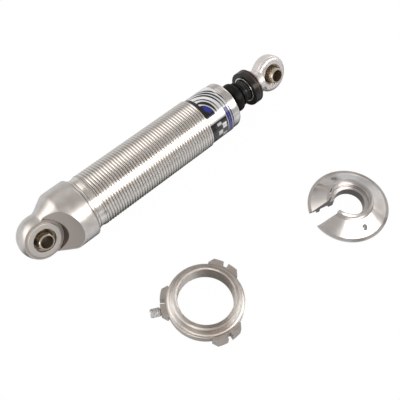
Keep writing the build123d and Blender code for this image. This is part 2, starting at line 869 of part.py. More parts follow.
os.makedirs("parts", exist_ok=True)
for name, solid in shock_parts.items():
    export_step(laid * solid, "parts/" + name + ".step")
for name, (solid, place, turn) in loose_parts.items():
    export_step(place_on_floor(solid, place, turn), "parts/" + name + ".step")

print("rest tilt", round(rest_tilt, 4), "axis height", round(axis_height, 3))
print("upper eye station", round(upper_eye_station, 3))
print("thread from", round(thread_start, 3), "to", round(thread_end, 3))
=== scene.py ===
import bmesh
import bpy
import numpy as np
from mathutils import Matrix, Vector


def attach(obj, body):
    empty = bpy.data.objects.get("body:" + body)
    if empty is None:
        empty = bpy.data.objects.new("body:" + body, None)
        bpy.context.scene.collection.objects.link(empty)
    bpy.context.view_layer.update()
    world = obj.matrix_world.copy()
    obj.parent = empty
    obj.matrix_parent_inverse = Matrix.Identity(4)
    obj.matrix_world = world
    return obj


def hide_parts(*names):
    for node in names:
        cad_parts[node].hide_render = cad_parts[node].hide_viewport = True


# Coilover damper on a white table, with its adjuster nut and its spring seat laid beside it.
# Lengths in metres, angles in radians unless a note says degrees.

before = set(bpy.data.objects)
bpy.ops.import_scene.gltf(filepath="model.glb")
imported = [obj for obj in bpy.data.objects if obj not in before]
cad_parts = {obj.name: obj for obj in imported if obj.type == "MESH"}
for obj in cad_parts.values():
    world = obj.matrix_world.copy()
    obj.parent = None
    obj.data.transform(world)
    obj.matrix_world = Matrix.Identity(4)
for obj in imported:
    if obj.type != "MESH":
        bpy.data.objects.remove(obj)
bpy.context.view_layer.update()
print("frame loaded:", len(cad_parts), "nodes")

lay = {
    "restTilt": np.radians(1.2111),     # the damper lies on its base rim and its last thread
    "eyeRoll": np.radians(28.0),        # both eyes lean back from the viewer
    "floor": -0.029892,
    "upperEye": 0.2841,                 # along the damper from the lower eye
    "nutPlace": (0.0734, -0.1352),
    "nutTurn": np.radians(20.0),
    "seatPlace": (0.2396, -0.1542),
    "seatTurn": np.radians(162.0),
}

# Directions of the damper: along it, along the bolts towards the viewer, and across both
alongShock = np.array([np.cos(lay["restTilt"]), 0, -np.sin(lay["restTilt"])])
acrossFlat = np.array([0.0, 1.0, 0.0])
acrossUp = np.cross(alongShock, acrossFlat)


def onShock(station, radius, angle):
    # Point at a station along the damper, a radius from its axis and an angle about it
    station, radius, angle = np.broadcast_arrays(station, radius, angle)
    side = np.cos(angle)[..., None] * acrossFlat + np.sin(angle)[..., None] * acrossUp
    return station[..., None] * alongShock + radius[..., None] * side


def onFloorPiece(place, turn, across, sideways, height):
    # Point in the frame of a loose piece: X out along its turn, Z up from the floor
    across, sideways, height = np.broadcast_arrays(across, sideways, height)
    x = place[0] + across * np.cos(turn) - sideways * np.sin(turn)
    y = place[1] + across * np.sin(turn) + sideways * np.cos(turn)
    return np.stack([x, y, lay["floor"] + height], axis=-1)


def gridMesh(name, points, closedAlong=False, closedAround=True, flip=False):
    # Quads over a grid of points, first index along and second around; each end can close on itself
    along, around = points.shape[:2]
    rows = np.arange(along if closedAlong else along - 1)
    columns = np.arange(around if closedAround else around - 1)
    row, column = np.meshgrid(rows, columns, indexing="ij")
    nextRow, nextColumn = (row + 1) % along, (column + 1) % around
    corners = [
        row * around + column,
        row * around + nextColumn,
        nextRow * around + nextColumn,
        nextRow * around + column,
    ]
    quads = np.stack(corners[::-1] if flip else corners, axis=-1).reshape(-1, 4)
    mesh = bpy.data.meshes.new(name)
    mesh.vertices.add(along * around)
    mesh.vertices.foreach_set("co", points.reshape(-1).astype(np.float32))
    mesh.loops.add(quads.size)
    mesh.loops.foreach_set("vertex_index", quads.reshape(-1).astype(np.int32))
    mesh.polygons.add(len(quads))
    mesh.polygons.foreach_set("loop_start", np.arange(0, quads.size, 4, dtype=np.int32))
    mesh.update(calc_edges=True)
    mesh.validate()
    mesh.shade_smooth()
    thing = bpy.data.objects.new(name, mesh)
    bpy.context.collection.objects.link(thing)
    return thing


def carriedRound(profile, around):
    # Grids of a profile's values and of the angles that it is carried round to
    angles = np.linspace(0, 2 * np.pi, around, endpoint=False)
    return np.meshgrid(profile, angles, indexing="ij")


def smoothStep(low, high, value):
    # 0 below low, 1 above high, a soft S between
    part = np.clip((value - low) / (high - low), 0, 1)
    return part * part * (3 - 2 * part)


# Camera: a 64 mm lens on a square frame, looking down on the table, leaning three degrees
cameraSet = {
    "place": (-0.09450, -0.28873, 0.55744),
    "aim": (0.34918, 0.34731, -0.87033),
    "lean": np.radians(3.022),
    "lens": 63.66,
    "sensor": 36.0,
}


def placeCamera(settings):
    aim = Vector(settings["aim"]).normalized()
    right = aim.cross(Vector((0, 0, 1))).normalized()
    up = right.cross(aim)
    lean = settings["lean"]
    sideways = np.cos(lean) * right + np.sin(lean) * up
    upwards = np.cos(lean) * up - np.sin(lean) * right
    data = bpy.data.cameras.new("viewCamera")
    data.lens = settings["lens"]
    data.sensor_width = settings["sensor"]
    data.clip_start = 0.01
    data.clip_end = 20
    camera = bpy.data.objects.new("viewCamera", data)
    bpy.context.collection.objects.link(camera)
    turn = Matrix((sideways, upwards, -aim)).transposed()
    camera.matrix_world = Matrix.Translation(settings["place"]) @ turn.to_4x4()
    bpy.context.scene.camera = camera


placeCamera(cameraSet)
bpy.context.scene.render.resolution_x = 400
bpy.context.scene.render.resolution_y = 400
bpy.context.scene.view_settings.view_transform = "Standard"
print("camera set")


# White table under soft light, with one lamp behind the damper and one at its left.
# A grey tent that only metal sees carries the panels that lie as long bands on the damper.
studioSet = {
    "tableSize": 3.0,
    "tableDrop": 0.0001,                 # keeps the table clear of the pieces that lie on it
    "tableColour": (0.50, 0.495, 0.49),
    "whiteToCamera": 0.955,              # share of the table's plain white, by kind of ray
    "whiteToMetal": 0.58,
    # metal sees the table whitest in two strips before the damper, and darker in the damper's own shade;
    # a strip's four distances towards the viewer are where it fades in and out
    "whiteElsewhere": 0.5,               # share of the strips' white
    "whiteStrips": [(0.025, 0.07, 0.088, 0.098), (0.185, 0.205, 5.0, 6.0)],
    "shadeStrips": [(-0.02, 0.0, 0.025, 0.043)],
    "shadeColour": (0.20, 0.19, 0.18),
    "whiteStrength": 1.03,
    "skyStrength": 0.62,
    "lamps": {
        "backLamp": {
            "place": (0.05, 0.62, 0.62), "look": (0.12, -0.05, 0), "size": (0.55, 0.30), "power": 3.6,
        },
        "leftLamp": {
            "place": (-0.80, 0.20, 0.55), "look": (0.10, 0, 0), "size": (0.30, 0.60), "power": 2.2,
        },
    },
    "tent": {
        "radius": 1.6, "rows": 24, "columns": 64,
        "colour": (0.45, 0.425, 0.405),
        # degrees along the damper: a panel's middle, and how far off it the value at its ends takes over
        "leanMiddle": 18.0, "endsFrom": 15, "endsTo": 50,
        # degrees about the damper, from straight up towards the viewer
        "panels": [
            {"middle": 49, "half": 8, "soft": 11, "value": 3.9, "ends": 3.9},
            {"middle": -48, "half": 14, "soft": 11, "value": 0.62, "ends": 1.9},
            {"middle": -93, "half": 8, "soft": 10, "value": 0.52, "ends": 0.6},
        ],
    },
}


def facing(place, look):
    # Turn that points an object's -Z from place to look, with its X level
    aim = (Vector(look) - Vector(place)).normalized()
    return aim.to_track_quat("-Z", "Y").to_matrix().to_4x4()


def addLamp(name, settings):
    data = bpy.data.lights.new(name, "AREA")
    data.shape = "RECTANGLE"
    data.size, data.size_y = settings["size"]
    data.energy = settings["power"]
    lamp = bpy.data.objects.new(name, data)
    bpy.context.collection.objects.link(lamp)
    lamp.visible_glossy = False
    lamp.matrix_world = Matrix.Translation(settings["place"]) @ facing(settings["place"], settings["look"])


class Tree:
    # A node tree under construction, with short ways to add nodes
    def __init__(self, tree):
        self.nodes, self.links = tree.nodes, tree.links

    def give(self, socket, value):
        # Gives an input a number, a colour or another node's output
        if isinstance(value, (int, float)):
            socket.default_value = value
        elif isinstance(value, tuple):
            socket.default_value = (*value, 1)
        else:
            self.links.new(value, socket)

    def add(self, kind, **values):
        # A new node; each value goes to the input of that name
        node = self.nodes.new(kind)
        for name, value in values.items():
            self.give(node.inputs[name], value)
        return node

    def math(self, operation, first, second=0.0):
        node = self.add("ShaderNodeMath")
        node.operation = operation
        self.give(node.inputs[0], first)
        self.give(node.inputs[1], second)
        return node.outputs[0]

    def times(self, first, second):
        return self.math("MULTIPLY", first, second)

    def without(self, mask):
        return self.math("SUBTRACT", 1.0, mask)

    def step(self, value, low, high):
        # 0 at low, 1 at high, a soft S between; low may be the larger of the two
        node = self.add("ShaderNodeMapRange", Value=value)
        node.interpolation_type = "SMOOTHSTEP"
        node.inputs["From Min"].default_value = min(low, high)
        node.inputs["From Max"].default_value = max(low, high)
        node.inputs["To Min"].default_value = float(low > high)
        node.inputs["To Max"].default_value = float(low < high)
        return node.outputs["Result"]

    def near(self, value, middle, halfWidth, edge):
        # 1 close to the middle; its edge, in half widths, holds where it has ended and where it is full
        away = self.math("ABSOLUTE", self.math("SUBTRACT", value, middle))
        return self.step(away, halfWidth * edge[0], halfWidth * edge[1])

    def mixed(self, share, first, second):
        # A colour from first to second; each is a colour or an output
        node = self.add("ShaderNodeMix")
        node.data_type = "RGBA"
        for name, value in (("Factor", share), ("A", first), ("B", second)):
            self.give(node.inputs[name], value)
        return node.outputs["Result"]

    def objectPlace(self):
        return self.add("ShaderNodeTexCoord").outputs["Object"]

    def split(self, place):
        # X, Y and Z of a place
        return self.add("ShaderNodeSeparateXYZ", Vector=place).outputs

    def raysOffMetal(self):
        # 1 for rays that come off metal or through glass
        rays = self.add("ShaderNodeLightPath").outputs
        return self.math("MAXIMUM", rays["Is Glossy Ray"], rays["Is Transmission Ray"])

    def seenShare(self, toCamera, toMetal):
        # How much of the plain white background each ray sees: the camera's, or one off metal
        camera = self.times(self.add("ShaderNodeLightPath").outputs["Is Camera Ray"], toCamera)
        return self.math("MAXIMUM", camera, self.times(self.raysOffMetal(), toMetal))

    def strips(self, edges):
        # 1 within each strip of the table
        towardsViewer = self.times(self.split(self.objectPlace())["Y"], -1.0)
        total = 0.0
        for fadeIn, fullFrom, fullTo, fadeOut in edges:
            starts = self.step(towardsViewer, fadeIn, fullFrom)
            inside = self.times(starts, self.step(towardsViewer, fadeOut, fullTo))
            total = self.math("MAXIMUM", inside, total)
        return total

    def endIn(self, outputKind, shader):
        self.add(outputKind, Surface=shader.outputs[0])

    def blend(self, share, first, second):
        # Mix of two shaders
        node = self.add("ShaderNodeMixShader", Fac=share)
        self.links.new(first.outputs[0], node.inputs[1])
        self.links.new(second.outputs[0], node.inputs[2])
        return node


def emptyMaterial(name):
    material = bpy.data.materials.new(name)
    material.use_nodes = True
    material.node_tree.nodes.clear()
    return material, Tree(material.node_tree)


def addSky(settings):
    world = bpy.data.worlds.new("studioSky")
    bpy.context.scene.world = world
    world.use_nodes = True
    tree = Tree(world.node_tree)
    tree.nodes.clear()
    plain = tree.add("ShaderNodeBackground", Color=(1, 1, 1), Strength=settings["skyStrength"])
    seen = tree.add("ShaderNodeBackground", Color=(1, 1, 1), Strength=1.0)
    tree.endIn("ShaderNodeOutputWorld", tree.blend(tree.seenShare(1.0, 1.0), plain, seen))


def addTable(settings):
    half = settings["tableSize"] / 2
    level = lay["floor"] - settings["tableDrop"]
    near = [(-half, -half, level), (half, -half, level)]
    far = [(-half, half, level), (half, half, level)]
    table = gridMesh("whiteTable", np.array([near, far]), closedAround=False)
    material, tree = emptyMaterial("tableWhite")
    shaded = tree.strips(settings["shadeStrips"])
    shadedMetal = tree.times(tree.raysOffMetal(), shaded)
    colour = tree.mixed(shadedMetal, settings["tableColour"], settings["shadeColour"])
    cloth = tree.add("ShaderNodeBsdfDiffuse", Color=colour)
    white = tree.add("ShaderNodeEmission", Strength=settings["whiteStrength"])
    whiter = tree.math("MAXIMUM", tree.strips(settings["whiteStrips"]), settings["whiteElsewhere"])
    metalShare = tree.times(whiter, tree.times(tree.without(shaded), settings["whiteToMetal"]))
    share = tree.seenShare(settings["whiteToCamera"], metalShare)
    tree.endIn("ShaderNodeOutputMaterial", tree.blend(share, cloth, white))
    table.data.materials.append(material)


def tentGlow(settings):
    # Grey cloth with glowing panels: each panel is a soft band of angles about the damper's line
    material, tree = emptyMaterial("tentGlow")
    place = tree.split(tree.objectPlace())
    angle = tree.math("DEGREES", tree.math("ARCTAN2", tree.times(place["Y"], -1.0), place["Z"]))
    lean = tree.math("DEGREES", tree.math("ARCSINE", tree.math("DIVIDE", place["X"], settings["radius"])))
    lean = tree.math("ABSOLUTE", tree.math("SUBTRACT", lean, settings["leanMiddle"]))
    ends = tree.step(lean, settings["endsFrom"], settings["endsTo"])
    total = 1.0
    for panel in settings["panels"]:
        inside = tree.near(angle, panel["middle"], 1.0, (panel["half"] + panel["soft"], panel["half"]))
        middle, far = (panel[key] / settings["colour"][0] - 1 for key in ("value", "ends"))
        value = tree.math("ADD", tree.times(ends, far - middle), middle)
        total = tree.math("ADD", tree.times(inside, value), total)
    glow = tree.add("ShaderNodeEmission", Color=settings["colour"], Strength=total)
    tree.endIn("ShaderNodeOutputMaterial", glow)
    return material


def addTent(settings):
    # Half a sphere over the table, open below: level circles of radius times the climb's cosine
    climb, turn = carriedRound(np.linspace(0, np.pi / 2, settings["rows"]), settings["columns"])
    across = np.cos(climb)
    points = np.stack([across * np.cos(turn), across * np.sin(turn), np.sin(climb)], axis=-1)
    tent = gridMesh("studioTent", settings["radius"] * points + np.array([0, 0, lay["floor"]]), flip=True)
    tent.data.materials.append(tentGlow(settings))
    tent.visible_camera = False
    tent.visible_diffuse = False
    tent.visible_transmission = False
    tent.visible_shadow = False


for lampName, lampSettings in studioSet["lamps"].items():
    addLamp(lampName, lampSettings)
addSky(studioSet)
addTable(studioSet)
addTent(studioSet["tent"])
print("studio set")


# Finishes. Every finish reads Object coordinates through a Mapping node that stands at its piece.
damperTurn = (-lay["eyeRoll"], lay["restTilt"], 0)
standings = {
    "shock": {"place": (0, 0, 0), "turn": damperTurn},
    "upperEye": {"place": tuple(lay["upperEye"] * alongShock), "turn": damperTurn},
    "nut": {"place": (*lay["nutPlace"], lay["floor"]), "turn": (0, 0, lay["nutTurn"])},
    "seat": {"place": (*lay["seatPlace"], lay["floor"]), "turn": (0, 0, lay["seatTurn"])},
}
toolMark, fineGrain = 0.00004, 0.00003     # depths of a cutting tool's lines and of a grain
outShare = 0.73                            # makes turned lines show on faces as well as along the axis


class Finish(Tree):
    # A material under construction
    def __init__(self, name, standing, metallic=1.0):
        self.material = bpy.data.materials.new(name)
        self.material.use_nodes = True
        super().__init__(self.material.node_tree)
        self.shader = self.nodes["Principled BSDF"]
        self.feed("Metallic", metallic)
        mapping = self.add("ShaderNodeMapping", Vector=self.objectPlace())
        mapping.vector_type = "TEXTURE"
        mapping.inputs["Location"].default_value = standings[standing]["place"]
        mapping.inputs["Rotation"].default_value = standings[standing]["turn"]
        self.place = mapping.outputs["Vector"]

    def feed(self, name, value):
        # Gives one of the shader's inputs a number or an output
        self.give(self.shader.inputs[name], value)

    def axes(self):
        return self.split(self.place)

    def outFrom(self, axis):
        # Distance from one of the standing's axes
        place = self.axes()
        squares = [self.times(place[name], place[name]) for name in "XYZ" if name != axis]
        return self.math("SQRT", self.math("ADD", *squares))

    def alongAndOut(self, axis):
        # Distance along the turning axis plus a share of that from it: constant on every turned line
        return self.math("ADD", self.times(self.outFrom(axis), outShare), self.axes()[axis])

    def bearing(self):
        # Degrees about the standing's Z, from its X
        place = self.axes()
        return self.math("DEGREES", self.math("ARCTAN2", place["Y"], place["X"]))

    def noiseAlong(self, along, perMetre, detail):
        # Uneven lines, perMetre features to the metre of travel
        noise = self.add("ShaderNodeTexNoise", Scale=perMetre, Detail=detail)
        noise.noise_dimensions = "1D"
        self.give(noise.inputs["W"], along)
        return noise.outputs["Fac"]

    def noiseAround(self, perMetre, detail):
        noise = self.add("ShaderNodeTexNoise", Vector=self.place, Scale=perMetre, Detail=detail)
        return noise.outputs["Fac"]

    def between(self, value, low, high):
        # Spreads a noise, which keeps mostly to 0.3 to 0.7, from low to high
        node = self.add("ShaderNodeMapRange", Value=value)
        for name, number in (("From Min", 0.3), ("From Max", 0.7), ("To Min", low), ("To Max", high)):
            node.inputs[name].default_value = number
        return node.outputs["Result"]

    def overlay(self, mask, colour):
        # A flat colour laid over the present one where the mask is 1
        present = self.shader.inputs["Base Color"].links[0].from_socket
        self.feed("Base Color", self.mixed(mask, present, colour))

    def mottle(self, colour, roughness, perMetre=90.0, detail=4.0, shade=0.94, spread=(0.88, 1.12)):
        # Cloudy colour from a shade of itself to itself, and a roughness that spreads with the clouds
        clouds = self.noiseAround(perMetre, detail)
        darker = tuple(part * shade for part in colour)
        self.feed("Base Color", self.mixed(self.between(clouds, 0.0, 1.0), darker, colour))
        rough = self.between(clouds, roughness * spread[0], roughness * spread[1])
        self.feed("Roughness", rough)
        return rough

    def bump(self, heights):
        # Several heights laid over one another: (value, strength, distance in metres)
        below = {}
        for value, strength, distance in heights:
            node = self.add("ShaderNodeBump", Height=value, Strength=strength, Distance=distance, **below)
            below = {"Normal": node.outputs["Normal"]}
        self.feed("Normal", below["Normal"])

    def turnedLines(self, axis, perMetre, strength, detail=4.0):
        self.bump([(self.noiseAlong(self.alongAndOut(axis), perMetre, detail), strength, toolMark)])


def turnedMetal(name, standing, axis, colour, roughness, lines=900.0, lineStrength=0.25):
    # Metal off a lathe: fine uneven rings under a cloudy sheen
    finish = Finish(name, standing)
    finish.mottle(colour, roughness)
    finish.turnedLines(axis, lines, lineStrength)
    return finish.material


# A bore's darker brown tone, less metallic than the rest: its edge holds how far outside its radius the
# colour has ended, and where it is full
boreTone = {"edge": (0.00012, 0.00004), "colour": (0.21, 0.155, 0.11), "lessMetallic": 0.6}


def boredSteel(name, standing, colour, insideRadius, roughness):
    # Turned steel about the bolt's line, with a dark brown, less metallic bore and bright end faces
    finish = Finish(name, standing)
    finish.mottle(colour, roughness, perMetre=300.0, detail=3.0, shade=0.86, spread=(0.85, 1.2))
    bore = finish.step(finish.outFrom("Y"), *(insideRadius + outside for outside in boreTone["edge"]))
    finish.overlay(bore, boreTone["colour"])
    boreDulling = finish.times(bore, boreTone["lessMetallic"])
    finish.feed("Metallic", finish.without(boreDulling))
    finish.turnedLines("Y", 1200.0, 0.12)
    return finish.material


def darkFinish(name, standing, colour, roughness, grain=0.2, grainScale=3000.0, specular=0.5):
    # Rubber, plastic and black anodising: mottled with a tone a third paler, with a fine grain
    finish = Finish(name, standing, metallic=0.0)
    clouds = finish.noiseAround(220.0, 3.0)
    paler = tuple(min(part * 1.35 + 0.004, 1) for part in colour)
    finish.feed("Base Color", finish.mixed(finish.between(clouds, 0.0, 1.0), colour, paler))
    finish.feed("Specular IOR Level", specular)
    finish.feed("Roughness", finish.between(clouds, roughness * 0.85, roughness * 1.15))
    finish.bump([(finish.noiseAround(grainScale, 2.0), grain, toolMark)])
    return finish.material


# Thread and relief of the tube, with painted shade in the thread's valleys and in the relief's grooves.
# Edges hold where a colour has ended and where it is full.
threadFinish = {
    "colour": (0.84, 0.82, 0.795), "roughness": 0.21,
    "valleyPaintedShade": (0.50, 0.47, 0.445), "valleyShadeEdge": (0.0256, 0.02505),
    "threadFrom": (0.0553, 0.0562), "threadTo": (0.1846, 0.1842),
    "groovePaintedShade": (0.36, 0.335, 0.31), "grooveHalf": 0.0003, "grooveEdge": (1.3, 0.7),
    "grooves": [0.0459, 0.0487, 0.0554],
}


def threadMetal(name, settings):
    # Turned tube: painted shade in the thread's valleys and in the grooves of the relief
    finish = Finish(name, "shock")
    station = finish.axes()["X"]
    finish.mottle(settings["colour"], settings["roughness"], shade=0.95)
    starts, ends = (finish.step(station, *settings[key]) for key in ("threadFrom", "threadTo"))
    valleyShade = finish.step(finish.outFrom("X"), *settings["valleyShadeEdge"])
    # painted shade in the thread's valleys
    finish.overlay(finish.times(valleyShade, finish.times(starts, ends)), settings["valleyPaintedShade"])
    for middle in settings["grooves"]:
        grooveShade = finish.near(station, middle, settings["grooveHalf"], settings["grooveEdge"])
        # painted shade along each groove of the relief
        finish.overlay(grooveShade, settings["groovePaintedShade"])
    finish.turnedLines("X", 1400.0, 0.08)
    return finish.material


# Base. Before milling it is a ball, a cone of radius slope times station plus foot, and a cylinder.
baseFinish = {
    "colour": (0.79, 0.77, 0.755), "flatPaintedShade": (0.44, 0.405, 0.38),
    "bossColour": (0.60, 0.575, 0.555), "wallPaintedShade": (0.13, 0.11, 0.095),
    "roughness": 0.32, "milledRougher": 0.12,
    "coneSlope": 0.543, "coneFoot": 0.0173, "radius": 0.029, "coneFrom": 0.0048,
    "ballRadius": 0.0205, "ballTo": 0.0056, "socketEdge": (0.0452, 0.0449),
    "milledDepth": (0.0003, 0.0006),         # how far inside the outline a face counts as milled
    "bossEdge": (0.0164, 0.0161), "spotRadius": 0.0195, "wallEdge": (0.0005, 0.0003),
}


def milledBase(name, settings):
    # Turned base: rings on the turned faces; the milled flats, inside the outline, are plain and carry
    # painted shade, darkest on the spot face's wall
    finish = Finish(name, "shock")
    station = finish.axes()["X"]
    out, fromBolt = finish.outFrom("X"), finish.outFrom("Y")
    cone = finish.math("ADD", finish.times(station, settings["coneSlope"]), settings["coneFoot"])
    belowCone = finish.math("SUBTRACT", finish.math("MINIMUM", cone, settings["radius"]), out)
    fromMiddle = finish.add("ShaderNodeVectorMath")
    fromMiddle.operation = "LENGTH"
    finish.give(fromMiddle.inputs[0], finish.place)
    belowBall = finish.math("SUBTRACT", settings["ballRadius"], fromMiddle.outputs["Value"])
    inCone = finish.math("MINIMUM", belowCone, finish.math("SUBTRACT", station, settings["coneFrom"]))
    inBall = finish.math("MINIMUM", belowBall, finish.math("SUBTRACT", settings["ballTo"], station))
    milled = finish.step(finish.math("MAXIMUM", inCone, inBall), *settings["milledDepth"])
    boss = finish.step(fromBolt, *settings["bossEdge"])
    besideBoss = finish.times(milled, finish.without(boss))
    flat = finish.times(besideBoss, finish.step(station, *settings["socketEdge"]))
    wall = finish.near(fromBolt, settings["spotRadius"], 1.0, settings["wallEdge"])
    rough = finish.mottle(settings["colour"], settings["roughness"], perMetre=130.0, detail=5.0, shade=0.84)
    # painted shade on the milled flats beside the boss, and darker painted shade on the spot face's wall
    finish.overlay(flat, settings["flatPaintedShade"])
    finish.overlay(finish.times(wall, flat), settings["wallPaintedShade"])
    finish.overlay(finish.times(milled, boss), settings["bossColour"])
    rougher = finish.times(milled, settings["milledRougher"])
    finish.feed("Roughness", finish.math("ADD", rough, rougher))
    rings = finish.noiseAlong(finish.alongAndOut("X"), 700.0, 4.0)
    turnedOnly = finish.times(rings, finish.without(milled))
    finish.bump([(turnedOnly, 0.12, toolMark), (finish.noiseAround(2600.0, 2.0), 0.01, fineGrain)])
    return finish.material


rodEndFinish = {
    "colour": (0.86, 0.83, 0.82), "rootPaintedShade": (0.44, 0.405, 0.39), "rootEdge": (0.2655, 0.2622),
    "roughness": 0.36, "metallic": 0.68,
}


def polishedEnd(name, settings):
    # Polished rod end: soft and pale, with painted shade at its root beside the flange
    finish = Finish(name, "shock", settings["metallic"])
    look = {"perMetre": 120.0, "detail": 3.0, "shade": 0.96, "spread": (0.9, 1.1)}
    finish.mottle(settings["colour"], settings["roughness"], **look)
    # painted shade at the root beside the flange
    finish.overlay(finish.step(finish.axes()["X"], *settings["rootEdge"]), settings["rootPaintedShade"])
    finish.bump([(finish.noiseAround(700.0, 2.0), 0.02, fineGrain)])
    return finish.material


seatFinish = {
    "colour": (0.80, 0.785, 0.78), "rayPaintedReflection": (0.40, 0.385, 0.38), "paintedShadeColour": (0.20, 0.185, 0.18),
    "roughness": 0.21,
    # painted reflection rays on the cone, as darker wedges: degrees from the slot, half width, strength
    "rays": [(128, 11, 0.75), (75, 16, 0.6), (-150, 22, 0.5), (-92, 14, 0.45)],
    "rayEdge": (1.0, 0.2), "coneFrom": (0.0208, 0.0214),
    # rings of painted shade in the collar: height, half width
    "rings": [(0.0128, 0.0008), (0.0165, 0.0003), (0.0188, 0.0003)],
    "ringEdge": (1.2, 0.7), "collarTo": (0.0190, 0.0186),
    "boreEdge": (0.01445, 0.01435), "slotEdge": (0.00765, 0.00755), "slotFrom": (0.0, 0.001),
}


def spunSeat(name, settings):
    # Spun seat: painted reflection rays about its middle, and painted shade in the bore, the counterbore's
    # foot and the slot
    finish = Finish(name, "seat")
    place, out, bearing = finish.axes(), finish.outFrom("Z"), finish.bearing()
    finish.mottle(settings["colour"], settings["roughness"], shade=0.95, spread=(0.85, 1.15))
    cone, collar = finish.step(out, *settings["coneFrom"]), finish.step(out, *settings["collarTo"])
    # painted reflection: darker wedges at given bearings on the cone
    for middle, halfWidth, strength in settings["rays"]:
        ray = finish.times(finish.near(bearing, middle, halfWidth, settings["rayEdge"]), cone)
        finish.overlay(finish.times(ray, strength), settings["rayPaintedReflection"])
    slot = finish.step(finish.math("ABSOLUTE", place["Y"]), *settings["slotEdge"])
    rings = [finish.near(place["Z"], *ring, settings["ringEdge"]) for ring in settings["rings"]]
    shadeMasks = [finish.times(ring, collar) for ring in rings]
    shadeMasks.append(finish.step(out, *settings["boreEdge"]))
    shadeMasks.append(finish.times(slot, finish.step(place["X"], *settings["slotFrom"])))
    # painted shade in the collar's rings, the bore and the slot
    for mask in shadeMasks:
        finish.overlay(mask, settings["paintedShadeColour"])
    finish.turnedLines("Z", 900.0, 0.30)
    return finish.material


nutFinish = {
    "colour": (0.60, 0.565, 0.535), "paintedHighlightColour": (0.97, 0.955, 0.935), "paintedShadeColour": (0.27, 0.24, 0.215),
    # painted highlight and painted shade on sides of the turned faces: degrees about the nut, half width,
    # strength, colour
    "sides": [
        (128, 46, 1.0, "paintedHighlightColour"), (-82, 38, 0.8, "paintedHighlightColour"),
        (-138, 40, 0.75, "paintedShadeColour"), (10, 70, 0.5, "paintedShadeColour"),
    ],
    "sideEdge": (1.0, 0.15), "turnedTo": (0.0350, 0.0340),
    # painted light over the bore, and painted shade towards one side of it
    "borePaintedLight": (0.80, 0.76, 0.73), "borePaintedShade": (0.26, 0.235, 0.215), "boreEdge": (0.0258, 0.0256),
    "boreShadeFrom": (0.45, 0.98),            # cosine of the angle from the dark side's middle
    "roughness": 0.42,
}


def tumbledNut(name, settings):
    # Tumbled nut: painted highlights and painted shade on sides of its turned faces, and a bore of painted
    # light that darkens with painted shade towards one side
    finish = Finish(name, "nut")
    out, bearing = finish.outFrom("Z"), finish.bearing()
    look = {"perMetre": 160.0, "detail": 5.0, "shade": 0.86, "spread": (0.9, 1.1)}
    finish.mottle(settings["colour"], settings["roughness"], **look)
    turned, bore = finish.step(out, *settings["turnedTo"]), finish.step(out, *settings["boreEdge"])
    # painted highlights and painted shade by bearing about the nut
    for middle, halfWidth, strength, key in settings["sides"]:
        side = finish.times(finish.near(bearing, middle, halfWidth, settings["sideEdge"]), turned)
        finish.overlay(finish.times(side, strength), settings[key])
    # painted light in the bore, then painted shade towards its dark side
    finish.overlay(bore, settings["borePaintedLight"])
    shadeSide = finish.step(finish.math("DIVIDE", finish.axes()["X"], out), *settings["boreShadeFrom"])
    finish.overlay(finish.times(bore, shadeSide), settings["borePaintedShade"])
    finish.turnedLines("Z", 800.0, 0.06, 2.0)
    return finish.material


sealColour, ringColour = (0.013, 0.013, 0.013), (0.50, 0.45, 0.38)
# turned metal: standing, axis, colour, roughness, lines to the metre, strength of the lines;
# dark finish: standing, colour, roughness, strength of the grain, its scale, specular level
finishes = {
    "base_cap": milledBase("tumbledBase", baseFinish),
    "body_tube": threadMetal("brightThread", threadFinish),
    "top_cap": turnedMetal("fineTurnedCap", "shock", "X", (0.80, 0.79, 0.785), 0.20, 1200, 0.06),
    "rod_end": polishedEnd("polishedRodEnd", rodEndFinish),
    "piston_rod": turnedMetal("hardChrome", "shock", "X", (0.83, 0.83, 0.84), 0.06, 1500, 0.02),
    "adjuster_nut": tumbledNut("tumbledNut", nutFinish),
    "upper_spring_seat": spunSeat("turnedSeat", seatFinish),
    "lock_screw": turnedMetal("zincScrew", "nut", "Z", (0.60, 0.61, 0.62), 0.16, 900, 0.05),
    "bump_stop": darkFinish("bumpRubber", "shock", (0.006, 0.006, 0.0062), 0.38, 0.25, 2500, 0.16),
    "flange_o_ring": darkFinish("brownRingRubber", "shock", (0.045, 0.022, 0.016), 0.42),
    "rebound_knob": darkFinish("anodisedKnob", "shock", (0.030, 0.031, 0.030), 0.20, 0.05, 4000, 0.34),
    "seat_flange": darkFinish("anodisedFlange", "shock", (0.018, 0.0155, 0.0155), 0.20, 0.05, 4000, 0.34),
    "lock_pad": darkFinish("nylonPad", "nut", (0.62, 0.60, 0.54), 0.5),
    "piston_band": darkFinish("slideBand", "shock", (0.12, 0.11, 0.10), 0.45),
    "guide_bush": turnedMetal("bushBronze", "shock", "X", (0.62, 0.42, 0.22), 0.3),
}
sealNames = {"rod_wiper": "wiperRubber", "rod_seal": "sealRubber", "guide_o_ring": "guideRingRubber"}
for node, name in sealNames.items():
    finishes[node] = darkFinish(name, "shock", sealColour, 0.5)
